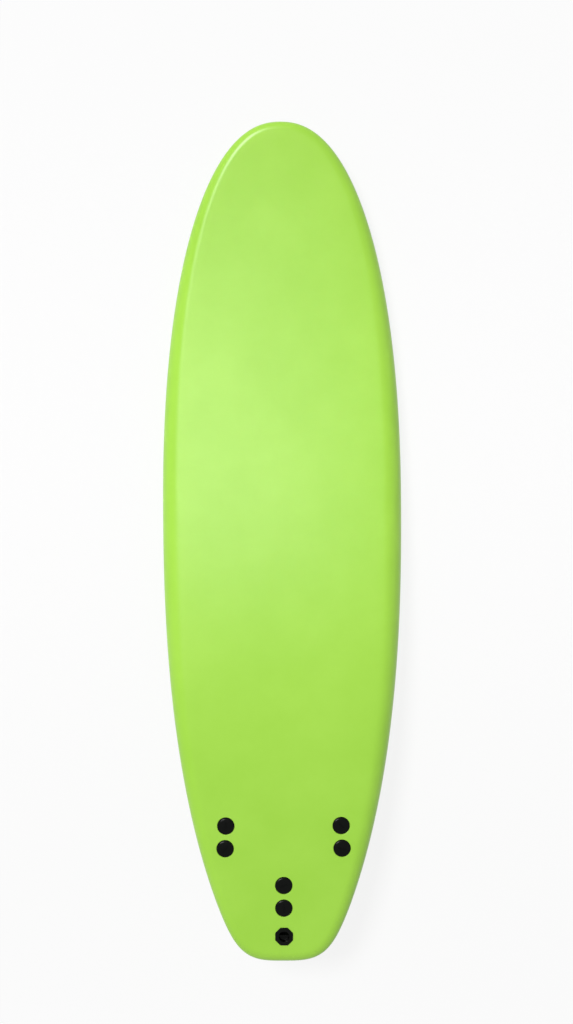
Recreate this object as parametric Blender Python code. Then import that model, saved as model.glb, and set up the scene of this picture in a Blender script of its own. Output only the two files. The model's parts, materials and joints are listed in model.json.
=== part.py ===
"""Soft-top surfboard with three bolt-through fins and a leash plug.

Metres, +Z up. The nose points along +Y and the deck faces up. The board rests as it does on
a floor with its fins in: on its belly and on its fin tips, so it is pitched nose down. The
layers, plugs and fins are modelled in the board's own frame, whose origin lies midway
between nose and tail at the height of the flat bottom, and one empty then sets the stance.
"""
import math

import bmesh
import bpy
from mathutils import Matrix, Vector

# Plan outline
LENGTH = 1.829
WIDTH = 0.527
WIDE_POINT_FORWARD = 0.080
NOSE_FULLNESS = 2.2527
NOSE_ROUNDNESS = 0.4459
NOSE_FLAT = 0.040
TAIL_BLOCK = 0.1876
TAIL_TAPER = 2.355
TAIL_HIP = 6.0
TAIL_HIP_SHARE = 0.173
TAIL_CORNER = 0.0221
TAIL_CORNER_POWER = 0.297
TAIL_FLAT = 0.080

# Rocker, foil and deck, with the powers that spread each of them along the board
NOSE_ROCKER = 0.115
NOSE_ROCKER_POWER = 2.6
TAIL_ROCKER = 0.032
TAIL_ROCKER_POWER = 2.4
THICKNESS = 0.076
NOSE_TIP_THICKNESS = 0.030
NOSE_FOIL_POWER = 2.6
TAIL_TIP_THICKNESS = 0.028
TAIL_FOIL_POWER = 2.2
DECK_DOME = 0.0055

# Rails: plan width of the round above and below the apex, amidships and at the tips
RAIL_APEX_SHARE = 0.42
UPPER_RAIL_MID = 0.040
UPPER_RAIL_TIP = 0.022
LOWER_RAIL_MID = 0.028
LOWER_RAIL_TIP = 0.016
SEAM_INSET = 0.008

# Layers and clearances
GAP = 0.0003
SEAM_GAP = 0.0004
DECK_SKIN = 0.0055
REINFORCING_MESH = 0.0008
SLICK = 0.0012
BACKING = 0.0040

# Stringers
STRINGER_SPACING = 0.130
STRINGER_THICKNESS = 0.005
STRINGER_TO_TIP = 0.1345
STRINGER_SET_DOWN = 0.0012

# Fin positions on the deck: midway between the two screws of each fin
SCREW_SPACING = 0.050
SIDE_FIN_TO_RAIL = 0.06685
SIDE_FIN_TO_TAIL = 0.2764
CENTRE_FIN_TO_TAIL = 0.1450
TOE_IN = math.radians(2.0)
CANT = math.radians(5.0)

# Fin screws, with a coin slot across each domed head
HEAD_DIAMETER = 0.037
HEAD_EDGE = 0.0022
HEAD_DOME = 0.0024
HEAD_EDGE_ROUND = 0.0008
HEAD_CLEARANCE = 0.0005
SLOT_LENGTH = 0.018
SLOT_WIDTH = 0.0030
SLOT_DEPTH = 0.0016
SHANK_DIAMETER = 0.009
SHANK_BELOW_CAP = 0.0155
WASHER_DIAMETER = 0.030
WASHER_THICKNESS = 0.0010

# Two-part plugs through the board: a flanged cap from above and a flanged body from below
CAP_FLANGE = 0.0020
CAP_FLANGE_DIAMETER = 0.0368
CAP_DEPTH = 0.0080
PLUG_WALL = 0.0022
PLUG_FLANGE_DIAMETER = 0.034
PLUG_FLANGE = 0.0032

# Fins: two posts with brass inserts, a base plate and a foiled, raked blade
POST_DIAMETER = 0.017
POST_TOP_CLEARANCE = 0.0015
INSERT_DIAMETER = 0.0114
INSERT_LENGTH = 0.016
FIN_BASE_LENGTH = 0.118
FIN_BASE_WIDTH = 0.024
FIN_BASE_THICKNESS = 0.0035
FIN_BASE_BEVEL = 0.0020
FIN_CHORD = 0.108
FIN_DEPTH = 0.114
FIN_RAKE = 0.030
FIN_TIP_CHORD = 0.010
FIN_THICKNESS = 0.0095
FIN_EDGE = 0.0016
SIDE_FIN_FLATNESS = 0.25

# Leash plug
LEASH_TO_TAIL = 0.0578
LEASH_FLANGE_FLATS = 0.039
LEASH_FLANGE = 0.0024
LEASH_FLANGE_BEVEL = 0.0010
CUP_BORE = 0.023
CUP_WALL = 0.0020
CUP_DEPTH = 0.0125
CUP_FLOOR = 0.0020
LEASH_STEM_DIAMETER = 0.012
LEASH_STEM_LENGTH = 0.007
LEASH_ANCHOR_FLOOR = 0.0015
BAR_DIAMETER = 0.005
BAR_DEPTH = 0.0045
BAR_SEAT = 0.0010

# Facets
STATIONS = 24
COLUMNS = 4
UPPER_RAIL_STEPS = 4
LOWER_RAIL_STEPS = 2
HEAD_SIDES = 18
PLUG_SIDES = 14
SMALL_SIDES = 12
LEASH_SIDES = 16
BLADE_STEPS = 8
FOIL_STEPS = 5
BASE_END_STEPS = 6

HALF_LENGTH = LENGTH / 2
CORE_DECK_INSET = DECK_SKIN + REINFORCING_MESH + 2 * GAP
BOTTOM_STACK = SLICK + BACKING + GAP
CORE_BOTTOM_INSET = BOTTOM_STACK + REINFORCING_MESH + 2 * GAP
SHANK_RADIUS = SHANK_DIAMETER / 2
POST_RADIUS = POST_DIAMETER / 2
PLUG_BORE_RADIUS = POST_RADIUS + GAP
PLUG_RADIUS = PLUG_BORE_RADIUS + PLUG_WALL
CAP_TOP = -DECK_SKIN + CAP_FLANGE
WASHER_TOP = CAP_TOP + GAP + WASHER_THICKNESS
HEAD_SEAT = WASHER_TOP + GAP
POST_TOP = -DECK_SKIN - CAP_DEPTH - POST_TOP_CLEARANCE
INSERT_RADIUS = INSERT_DIAMETER / 2
CUP_RADIUS = CUP_BORE / 2 + CUP_WALL
CUP_UNDER = -CUP_DEPTH - CUP_FLOOR
STEM_TIP = CUP_UNDER - LEASH_STEM_LENGTH
ANCHOR_FOOT = STEM_TIP - GAP - LEASH_ANCHOR_FLOOR
ANCHOR_SHOULDER = ANCHOR_FOOT + PLUG_FLANGE

LIME = (0.66, 0.90, 0.35)
NEAR_BLACK = (0.07, 0.07, 0.07)
SLICK_WHITE = (0.90, 0.91, 0.89)
FOAM_WHITE = (0.93, 0.93, 0.90)
NET_GREY = (0.62, 0.64, 0.66)
BACKING_GREY = (0.78, 0.80, 0.80)
PLYWOOD = (0.72, 0.56, 0.36)
BRASS = (0.78, 0.62, 0.32)


def blend(start, end, share):
    return start + (end - start) * share


def linear(colour):
    """Scene-linear value of an sRGB colour."""
    return tuple(c / 12.92 if c <= 0.04045 else ((c + 0.055) / 1.055) ** 2.4 for c in colour)


def half_width(y):
    """Half the plan width at y: a full round nose, and a tail drawn in to a rounded squash."""
    if y >= WIDE_POINT_FORWARD:
        share = (y - WIDE_POINT_FORWARD) / (HALF_LENGTH - WIDE_POINT_FORWARD)
        return WIDTH / 2 * max(0.0, 1 - share ** NOSE_FULLNESS) ** NOSE_ROUNDNESS
    share = (WIDE_POINT_FORWARD - y) / (WIDE_POINT_FORWARD + HALF_LENGTH)
    draw = blend(share ** TAIL_TAPER, share ** TAIL_HIP, TAIL_HIP_SHARE)
    corner = (1 - math.exp(-(y + HALF_LENGTH) / TAIL_CORNER)) ** TAIL_CORNER_POWER
    return (WIDTH / 2 - (WIDTH - TAIL_BLOCK) / 2 * draw) * corner


def tip_share(y):
    """0 amidships and 1 at either tip."""
    return min(abs(y) / HALF_LENGTH, 1.0)


def bottom_height(y):
    if y > 0:
        return NOSE_ROCKER * tip_share(y) ** NOSE_ROCKER_POWER
    return TAIL_ROCKER * tip_share(y) ** TAIL_ROCKER_POWER


def thickness(y):
    if y > 0:
        return blend(THICKNESS, NOSE_TIP_THICKNESS, tip_share(y) ** NOSE_FOIL_POWER)
    return blend(THICKNESS, TAIL_TIP_THICKNESS, tip_share(y) ** TAIL_FOIL_POWER)


def deck_height(x, y):
    return bottom_height(y) + thickness(y) - DECK_DOME * (2 * x / WIDTH) ** 2


def apex_height(y):
    return bottom_height(y) + RAIL_APEX_SHARE * thickness(y)


def below_deck(depth):
    return lambda x, y, base=0.0: deck_height(x, y) - depth


def above_bottom(depth):
    return lambda x, y, base=0.0: bottom_height(y) + depth


def upper_rail(y):
    return blend(UPPER_RAIL_MID, UPPER_RAIL_TIP, tip_share(y) ** 2)


def lower_rail(y):
    return blend(LOWER_RAIL_MID, LOWER_RAIL_TIP, tip_share(y) ** 2)


def outline():
    """Plan corners, anticlockwise from the tail's left corner, each with its inward mitre."""
    stations = [-HALF_LENGTH * math.cos(math.pi * i / STATIONS) for i in range(1, STATIONS)]
    across = [2 * k / COLUMNS - 1 for k in range(COLUMNS + 1)]
    corners = [Vector((share * TAIL_FLAT / 2, -HALF_LENGTH)) for share in across]
    corners += [Vector((half_width(y), y)) for y in stations]
    corners += [Vector((-share * NOSE_FLAT / 2, HALF_LENGTH)) for share in across]
    corners += [Vector((-half_width(y), y)) for y in reversed(stations)]
    mitres = []
    for i, corner in enumerate(corners):
        before = (corner - corners[i - 1]).normalized()
        after = (corners[(i + 1) % len(corners)] - corner).normalized()
        inward_before = Vector((-before.y, before.x))
        inward_after = Vector((-after.y, after.x))
        mitres.append((inward_before + inward_after) / (1 + inward_before.dot(inward_after)))
    return corners, mitres


CORNERS, MITRES = outline()


def ring(inset, height):
    """Loop round the board, `inset(y)` inside the outline, at `height(x, y, corner y)`."""
    points = []
    for corner, mitre in zip(CORNERS, MITRES):
        plan = corner + mitre * inset(corner.y)
        points.append(Vector((plan.x, plan.y, height(plan.x, plan.y, corner.y))))
    return points


def rail_rings(skin, deck_inset, bottom_inset):
    """Loops from the deck's shoulder, out round the apex and in to the flat bottom.

    `skin` is how far the layer lies inside the outline, and the other two how far it lies
    below the deck and above the bottom.
    """
    rings = []
    for step in range(UPPER_RAIL_STEPS + 1):
        turn = math.radians(90) * (1 - step / UPPER_RAIL_STEPS)

        def inset(y):
            return upper_rail(y) - (upper_rail(y) - skin) * math.cos(turn)

        shoulder = ring(upper_rail, below_deck(deck_inset))
        loop = ring(inset, lambda x, y, base: apex_height(base))
        for point, top in zip(loop, shoulder):
            point.z = blend(point.z, top.z, math.sin(turn))
        rings.append(loop)
    for step in range(1, LOWER_RAIL_STEPS + 1):
        turn = math.radians(90) * step / LOWER_RAIL_STEPS

        def inset(y):
            return lower_rail(y) - (lower_rail(y) - skin) * math.cos(turn)

        floor = ring(lower_rail, above_bottom(bottom_inset))
        loop = ring(inset, lambda x, y, base: apex_height(base))
        for point, low in zip(loop, floor):
            point.z = blend(point.z, low.z, math.sin(turn))
        rings.append(loop)
    return rings


def seam(side):
    """Inset of the seam between deck skin and bottom, `side` of its middle."""
    return lambda y: lower_rail(y) + SEAM_INSET + side * SEAM_GAP / 2


def loop_index(row, column):
    """Place in a ring of the grid's edge point at this row and column."""
    if row == 0:
        return column
    if column == COLUMNS:
        return COLUMNS + row
    if row == STATIONS:
        return COLUMNS + STATIONS + COLUMNS - column
    return (2 * COLUMNS + 2 * STATIONS - row) % len(CORNERS)


def strip_between(near, far):
    """Triangles between two rows of points, both from left to right, facing up."""
    faces = []
    i = 0
    j = 0
    while i < len(near) - 1 or j < len(far) - 1:
        if (i + 1) * (len(far) - 1) <= (j + 1) * (len(near) - 1):
            faces.append((near[i], near[i + 1], far[j]))
            i += 1
        else:
            faces.append((near[i], far[j + 1], far[j]))
            j += 1
    return faces


def cap_faces(points, loop, base, height, columns):
    """Grid across a ring, facing up; it adds the grid's inner points to `points`."""
    rows = []
    for row in range(STATIONS + 1):
        if row in (0, STATIONS):
            rows.append([base + loop_index(row, column) for column in range(COLUMNS + 1)])
            continue
        left = loop_index(row, 0)
        right = loop_index(row, COLUMNS)
        places = [loop[left].lerp(loop[right], column / columns) for column in range(1, columns)]
        inner = range(len(points), len(points) + len(places))
        points += [Vector((place.x, place.y, height(place.x, place.y))) for place in places]
        rows.append([base + left, *inner, base + right])
    return [face for near, far in zip(rows, rows[1:]) for face in strip_between(near, far)]


def layer_mesh(name, rings, top, bottom, top_columns=COLUMNS, bottom_columns=1):
    """Closed mesh through `rings`, capped by grids at the heights `top` and `bottom`.

    A domed cap has COLUMNS columns, and one that is flat across the board has one.
    """
    points = [point for loop in rings for point in loop]
    size = len(CORNERS)
    faces = []
    for level in range(len(rings) - 1):
        for i in range(size):
            upper = level * size + i
            upper_next = level * size + (i + 1) % size
            faces.append((upper, upper + size, upper_next + size))
            faces.append((upper, upper_next + size, upper_next))
    faces += cap_faces(points, rings[0], 0, top, top_columns)
    under = cap_faces(points, rings[-1], len(rings) * size - size, bottom, bottom_columns)
    faces += [face[::-1] for face in under]
    mesh = bpy.data.meshes.new(name)
    mesh.from_pydata(points, [], faces)
    return mesh


def turned_mesh(name, profile, sides, closed=False):
    """Profile turned about Z; it runs outward over the top and down its outer side.

    A profile point's radius may be a function of the angle, and its height of x and y.
    A closed profile makes a tube, and an open one starts and ends on the axis.
    """
    mesh = bmesh.new()
    loops = []
    for radius, height in profile:
        if not callable(radius) and radius == 0:
            loops.append([mesh.verts.new((0, 0, height))])
            continue
        loop = []
        for side in range(sides):
            angle = 2 * math.pi * side / sides
            reach = radius(angle) if callable(radius) else radius
            x = reach * math.cos(angle)
            y = reach * math.sin(angle)
            loop.append(mesh.verts.new((x, y, height(x, y) if callable(height) else height)))
        loops.append(loop)
    pairs = list(zip(loops, loops[1:]))
    if closed:
        pairs.append((loops[-1], loops[0]))
    for upper, lower in pairs:
        for side in range(sides):
            after = (side + 1) % sides
            if len(upper) == 1:
                mesh.faces.new((upper[0], lower[side], lower[after]))
            elif len(lower) == 1:
                mesh.faces.new((upper[side], lower[0], upper[after]))
            else:
                mesh.faces.new((upper[side], lower[side], lower[after], upper[after]))
    result = bpy.data.meshes.new(name)
    mesh.to_mesh(result)
    mesh.free()
    return result


def box_mesh(name, size, centre):
    mesh = bmesh.new()
    bmesh.ops.create_cube(mesh, size=1.0, matrix=Matrix.Translation(centre) @ Matrix.Diagonal((*size, 1)))
    result = bpy.data.meshes.new(name)
    mesh.to_mesh(result)
    mesh.free()
    return result


def joined_mesh(name, placed):
    """One mesh of separate bodies, from (mesh, matrix) pairs."""
    whole = bmesh.new()
    for mesh, matrix in placed:
        mesh.transform(matrix)
        whole.from_mesh(mesh)
        bpy.data.meshes.remove(mesh)
    result = bpy.data.meshes.new(name)
    whole.to_mesh(result)
    whole.free()
    return result


def finish(name, colour, roughness, metallic=0.0):
    material = bpy.data.materials.new(name)
    material.use_nodes = True
    shader = material.node_tree.nodes["Principled BSDF"]
    shader.inputs["Base Color"].default_value = (*linear(colour), 1.0)
    shader.inputs["Roughness"].default_value = roughness
    shader.inputs["Metallic"].default_value = metallic
    return material


def piece(name, mesh, parent, colour, roughness, metallic=0.0, place=(0, 0, 0), spin=0.0, crease=40):
    """One sub-part, shaded smooth up to `crease` degrees and hung on `parent`."""
    body = bpy.data.objects.new(name, mesh)
    bpy.context.scene.collection.objects.link(body)
    body.parent = parent
    body.location = place
    body.rotation_euler = (0, 0, spin)
    mesh.materials.append(finish(name, colour, roughness, metallic))
    mesh.shade_smooth()
    mesh.set_sharp_from_angle(angle=math.radians(crease))
    return body


def cutter(name, mesh, parent, place=(0, 0, 0)):
    guide = bpy.data.objects.new(name, mesh)
    bpy.context.scene.collection.objects.link(guide)
    guide.parent = parent
    guide.location = place
    guide.hide_render = True
    guide.display_type = "WIRE"
    return guide


def combine(body, other, operation):
    step = body.modifiers.new(other.name, "BOOLEAN")
    step.operation = operation
    step.solver = "EXACT"
    step.object = other


def empty(name, parent=None, matrix=None):
    point = bpy.data.objects.new(name, None)
    bpy.context.scene.collection.objects.link(point)
    point.parent = parent
    if matrix is not None:
        point.matrix_local = matrix
    return point


class Seat:
    """Place on the deck, square to it, where something passes through the board."""

    def __init__(self, name, board, x, y, turn=0.0):
        step = 0.01
        along = Vector((0, 2 * step, deck_height(x, y + step) - deck_height(x, y - step)))
        across = Vector((2 * step, 0, deck_height(x + step, y) - deck_height(x - step, y)))
        normal = across.cross(along).normalized()
        forward = Vector((math.sin(turn), math.cos(turn), 0))
        forward = (forward - normal * forward.dot(normal)).normalized()
        side = forward.cross(normal)
        self.matrix = Matrix((side, forward, normal)).transposed().to_4x4()
        self.matrix.translation = Vector((x, y, deck_height(x, y)))
        self.empty = empty(name, board, self.matrix)
        rise = (bottom_height(y + step) - bottom_height(y - step)) / (2 * step)
        turn_back = self.matrix.to_3x3().transposed()
        self.down = turn_back @ Vector((0, -rise, 1)).normalized()
        self.point = self.matrix.inverted() @ Vector((x, y, bottom_height(y)))

    def bottom(self, x, y, offset=0.0):
        """Height of the board's bottom below this place on the deck, in the seat's frame."""
        slope = self.down.x * (x - self.point.x) + self.down.y * (y - self.point.y)
        return self.point.z - slope / self.down.z + offset / self.down.z

    def bottom_frame(self):
        """Frame lying in the board's bottom, below the seat and facing the same way."""
        forward = Vector((0, 1, 0))
        forward = (forward - self.down * forward.dot(self.down)).normalized()
        frame = Matrix((forward.cross(self.down), forward, self.down)).transposed().to_4x4()
        frame.translation = Vector((0, 0, self.bottom(0, 0)))
        return frame


def screw_places():
    return (("front", SCREW_SPACING / 2), ("rear", -SCREW_SPACING / 2))


def make_layers(board):
    """Foam core, its skins and its two reinforcing meshes."""
    outer = rail_rings(0.0, 0.0, 0.0) + [ring(seam(-1), above_bottom(0.0))]
    inner = rail_rings(DECK_SKIN, DECK_SKIN, DECK_SKIN) + [ring(seam(-1), above_bottom(DECK_SKIN))]
    deck_skin = piece(
        "deck_skin",
        layer_mesh(
            "deck_skin", outer + inner[::-1], below_deck(0.0), below_deck(DECK_SKIN),
            bottom_columns=COLUMNS),
        board, LIME, 0.55)
    wrap = DECK_SKIN + GAP
    core_rings = rail_rings(wrap, CORE_DECK_INSET, wrap) + [ring(seam(1), above_bottom(CORE_BOTTOM_INSET))]
    foam_core = piece(
        "foam_core",
        layer_mesh("foam_core", core_rings, below_deck(CORE_DECK_INSET), above_bottom(CORE_BOTTOM_INSET)),
        board, FOAM_WHITE, 0.9)

    def deck_edge(y):
        return upper_rail(y) + GAP

    sheets = {}
    top = below_deck(DECK_SKIN + GAP)
    low = below_deck(DECK_SKIN + GAP + REINFORCING_MESH)
    rings = [ring(deck_edge, top), ring(deck_edge, low)]
    mesh = layer_mesh("deck_mesh", rings, top, low, bottom_columns=COLUMNS)
    sheets["deck_mesh"] = piece("deck_mesh", mesh, board, NET_GREY, 0.8)
    for name, edge, depth, thick, colour, roughness in (
            ("bottom_mesh", seam(2), BOTTOM_STACK + GAP, REINFORCING_MESH, NET_GREY, 0.8),
            ("bottom_backing", seam(1), SLICK + GAP, BACKING, BACKING_GREY, 0.8),
            ("bottom_slick", seam(1), 0.0, SLICK, SLICK_WHITE, 0.25)):
        top = above_bottom(depth + thick)
        low = above_bottom(depth)
        mesh = layer_mesh(name, [ring(edge, top), ring(edge, low)], top, low, top_columns=1)
        sheets[name] = piece(name, mesh, board, colour, roughness)
    return deck_skin, foam_core, sheets


def make_stringers(board, foam_core):
    """Two plywood strips on edge, let into slots through the core."""
    reach = HALF_LENGTH - STRINGER_TO_TIP
    slots = []
    for name, x in (("stringer_left", -STRINGER_SPACING / 2), ("stringer_right", STRINGER_SPACING / 2)):
        strip = bmesh.new()
        sections = []
        for i in range(STATIONS + 1):
            y = -reach * math.cos(math.pi * i / STATIONS)
            top = deck_height(x, y) - CORE_DECK_INSET - STRINGER_SET_DOWN
            low = bottom_height(y) + CORE_BOTTOM_INSET + STRINGER_SET_DOWN
            half = STRINGER_THICKNESS / 2
            corners = ((x - half, top), (x - half, low), (x + half, low), (x + half, top))
            sections.append([strip.verts.new((side, y, z)) for side, z in corners])
        for near, far in zip(sections, sections[1:]):
            for k in range(4):
                strip.faces.new((near[k - 1], near[k], far[k], far[k - 1]))
        strip.faces.new(sections[0][::-1])
        strip.faces.new(sections[-1])
        mesh = bpy.data.meshes.new(name)
        bmesh.ops.recalc_face_normals(strip, faces=strip.faces)
        strip.to_mesh(mesh)
        strip.free()
        piece(name, mesh, board, PLYWOOD, 0.7)
        tall = 4 * (THICKNESS + NOSE_ROCKER)
        size = (STRINGER_THICKNESS + 2 * GAP, 2 * (reach + GAP), tall)
        slots.append((box_mesh("slot", size, (x, 0, 0)), Matrix.Identity(4)))
    combine(foam_core, cutter("stringer_slots", joined_mesh("stringer_slots", slots), board), "DIFFERENCE")


def cut_passages(board, fin_seats, leash_seat, deck_skin, foam_core, sheets):
    """Holes through the layers for the six fin plugs, and a pocket for the leash plug."""
    head_hole = HEAD_DIAMETER / 2 + HEAD_CLEARANCE
    plug_hole = PLUG_RADIUS + GAP
    flange_hole = PLUG_FLANGE_DIAMETER / 2 + GAP
    cup_hole = CUP_RADIUS + GAP
    over = 2 * DECK_SKIN
    under = -2 * THICKNESS

    def rod(radius, top, low, sides):
        return turned_mesh("rod", ((0, top), (radius, top), (radius, low), (0, low)), sides)

    skin_rods = []
    core_rods = []
    flange_rods = []
    for seat in fin_seats:
        for _, forward in screw_places():
            place = seat.matrix @ Matrix.Translation((0, forward, 0))
            depth = seat.bottom(0, forward)
            skin_rods.append((rod(head_hole, over, -over, HEAD_SIDES), place))
            core_rods.append((rod(plug_hole, over, under, PLUG_SIDES), place))
            flange_rods.append((rod(flange_hole, depth + over, depth - over, PLUG_SIDES), place))
    pocket = (
        (0, over), (cup_hole, over), (cup_hole, CUP_UNDER - GAP), (plug_hole, CUP_UNDER - GAP),
        (plug_hole, ANCHOR_SHOULDER + GAP), (flange_hole, ANCHOR_SHOULDER + GAP),
        (flange_hole, ANCHOR_FOOT - GAP), (0, ANCHOR_FOOT - GAP))
    skin_rods.append((rod(cup_hole, over, -over, LEASH_SIDES), leash_seat.matrix))
    core_rods.append((turned_mesh("rod", pocket, LEASH_SIDES), leash_seat.matrix))

    heads = cutter("head_holes", joined_mesh("head_holes", skin_rods), board)
    plugs = cutter("plug_holes", joined_mesh("plug_holes", core_rods), board)
    flanges = cutter("flange_holes", joined_mesh("flange_holes", flange_rods), board)
    combine(deck_skin, heads, "DIFFERENCE")
    for body in (foam_core, sheets["deck_mesh"], sheets["bottom_mesh"]):
        combine(body, plugs, "DIFFERENCE")
    for body in (sheets["bottom_backing"], sheets["bottom_slick"]):
        combine(body, flanges, "DIFFERENCE")


def plug_body_profile(seat, forward, bore, top):
    """Tube with a flange at its foot, cut to lie in the plane of the board's bottom."""
    def foot(x, y):
        return seat.bottom(x, y + forward)

    shoulder = seat.bottom(0, forward) + PLUG_FLANGE
    flange = PLUG_FLANGE_DIAMETER / 2
    return (
        (bore, top), (PLUG_RADIUS, top), (PLUG_RADIUS, shoulder),
        (flange, shoulder), (flange, foot), (bore, foot))


def make_screw(name, seat, place, spin):
    """Domed nylon screw with a coin slot, its seal washer and the two halves of its plug."""
    where = name.split("_", 2)[2]
    head = HEAD_DIAMETER / 2
    crown = HEAD_EDGE + HEAD_DOME
    dome = [(head * share, blend(crown, HEAD_EDGE, share ** 2)) for share in (0.45, 0.8)]
    tip = -DECK_SKIN - CAP_DEPTH - SHANK_BELOW_CAP - HEAD_SEAT
    profile = [(0, crown), *dome, (head - HEAD_EDGE_ROUND, HEAD_EDGE + HEAD_EDGE_ROUND / 2)]
    profile += [(head, HEAD_EDGE - HEAD_EDGE_ROUND), (head, 0)]
    profile += [(SHANK_RADIUS, 0), (SHANK_RADIUS, tip), (0, tip)]
    screw = piece(
        name, turned_mesh(name, profile, HEAD_SIDES), seat.empty, NEAR_BLACK, 0.4,
        place=(0, place, HEAD_SEAT), spin=spin, crease=50)
    slot_size = (SLOT_WIDTH, SLOT_LENGTH, 2 * SLOT_DEPTH)
    slot = cutter("slot_" + where, box_mesh("slot", slot_size, (0, 0, crown)), screw)
    combine(screw, slot, "DIFFERENCE")

    washer_name = "seal_washer_" + where
    washer_bore = SHANK_RADIUS + GAP
    washer_profile = (
        (washer_bore, 0), (WASHER_DIAMETER / 2, 0),
        (WASHER_DIAMETER / 2, -WASHER_THICKNESS), (washer_bore, -WASHER_THICKNESS))
    piece(
        washer_name, turned_mesh(washer_name, washer_profile, SMALL_SIDES, closed=True),
        seat.empty, NEAR_BLACK, 0.8, place=(0, place, WASHER_TOP))

    cap_name = "plug_cap_" + where
    cap_radius = PLUG_BORE_RADIUS - GAP
    flange = CAP_FLANGE_DIAMETER / 2
    under = -CAP_FLANGE
    foot = under - CAP_DEPTH
    bore = SHANK_RADIUS + 2 * GAP
    cap_profile = (
        (bore, 0), (flange, 0), (flange, under),
        (cap_radius, under), (cap_radius, foot), (bore, foot))
    piece(
        cap_name, turned_mesh(cap_name, cap_profile, PLUG_SIDES, closed=True),
        seat.empty, NEAR_BLACK, 0.5, place=(0, place, CAP_TOP))

    body_name = "plug_body_" + where
    profile = plug_body_profile(seat, place, PLUG_BORE_RADIUS, -DECK_SKIN - GAP)
    piece(
        body_name, turned_mesh(body_name, profile, PLUG_SIDES, closed=True),
        seat.empty, NEAR_BLACK, 0.5, place=(0, place, 0))


def curve_point(controls, share):
    """Point on a cubic curve through four control points."""
    a, b, c, d = (Vector(point) for point in controls)
    rest = 1 - share
    return a * rest ** 3 + b * 3 * rest ** 2 * share + c * 3 * rest * share ** 2 + d * share ** 3


def blade_mesh(name, outer_side):
    """Raked blade hanging below z = 0; `outer_side` is 0 on the evenly foiled centre fin."""
    lead = FIN_CHORD / 2
    tip = -lead - FIN_RAKE
    leading = ((lead, 0), (0.45 * lead, -0.50 * FIN_DEPTH), (-0.55 * lead, -FIN_DEPTH),
               (tip + FIN_TIP_CHORD, -FIN_DEPTH))
    trailing = ((-lead, 0), (-0.80 * lead, -0.30 * FIN_DEPTH), (-1.15 * lead, -0.62 * FIN_DEPTH),
                (tip, -0.955 * FIN_DEPTH))
    mesh = bmesh.new()
    loops = []
    for step in range(BLADE_STEPS + 1):
        share = step / BLADE_STEPS
        front = curve_point(leading, share)
        back = curve_point(trailing, share)
        chord = (front - back).length
        thick = blend(FIN_THICKNESS, FIN_EDGE, share ** 1.5) * min(1.0, 2 * chord / FIN_CHORD)
        outside = []
        inside = []
        for point in range(FOIL_STEPS + 1):
            along = (1 - math.cos(math.pi * point / FOIL_STEPS)) / 2
            place = front.lerp(back, along)
            swell = 2.6 * math.sqrt(along) * (1 - along) * thick / 2
            edge = FIN_EDGE / 2 * math.sin(math.pi * min(max(along, 0.06), 0.94))
            edge = max(edge, FIN_EDGE / 4)
            flat = SIDE_FIN_FLATNESS if outer_side else 1.0
            outward = outer_side if outer_side else 1
            outside.append((outward * (swell + edge), place.x, place.y))
            inside.append((-outward * (swell * flat + edge), place.x, place.y))
        loops.append([mesh.verts.new(point) for point in outside + inside[::-1]])
    for near, far in zip(loops, loops[1:]):
        for i in range(len(near)):
            mesh.faces.new((near[i - 1], near[i], far[i], far[i - 1]))
    mesh.faces.new(loops[0])
    mesh.faces.new(loops[-1])
    bmesh.ops.recalc_face_normals(mesh, faces=mesh.faces)
    result = bpy.data.meshes.new(name)
    mesh.to_mesh(result)
    mesh.free()
    return result


def base_mesh(name):
    """Plate with round ends under the board's bottom, narrower at its lower edge."""
    mesh = bmesh.new()
    loops = []
    for inset, height in ((0, 0), (0, -0.4 * FIN_BASE_THICKNESS), (FIN_BASE_BEVEL, -FIN_BASE_THICKNESS)):
        radius = FIN_BASE_WIDTH / 2 - inset
        centre = FIN_BASE_LENGTH / 2 - FIN_BASE_WIDTH / 2
        loop = []
        for end in (0, 1):
            for step in range(BASE_END_STEPS + 1):
                angle = math.pi * (end + step / BASE_END_STEPS)
                middle = centre if end == 0 else -centre
                place = (radius * math.cos(angle), middle + radius * math.sin(angle), height)
                loop.append(mesh.verts.new(place))
        loops.append(loop)
    for near, far in zip(loops, loops[1:]):
        for i in range(len(near)):
            mesh.faces.new((near[i - 1], near[i], far[i], far[i - 1]))
    mesh.faces.new(loops[0])
    mesh.faces.new(loops[-1])
    bmesh.ops.recalc_face_normals(mesh, faces=mesh.faces)
    result = bpy.data.meshes.new(name)
    mesh.to_mesh(result)
    mesh.free()
    return result


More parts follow.
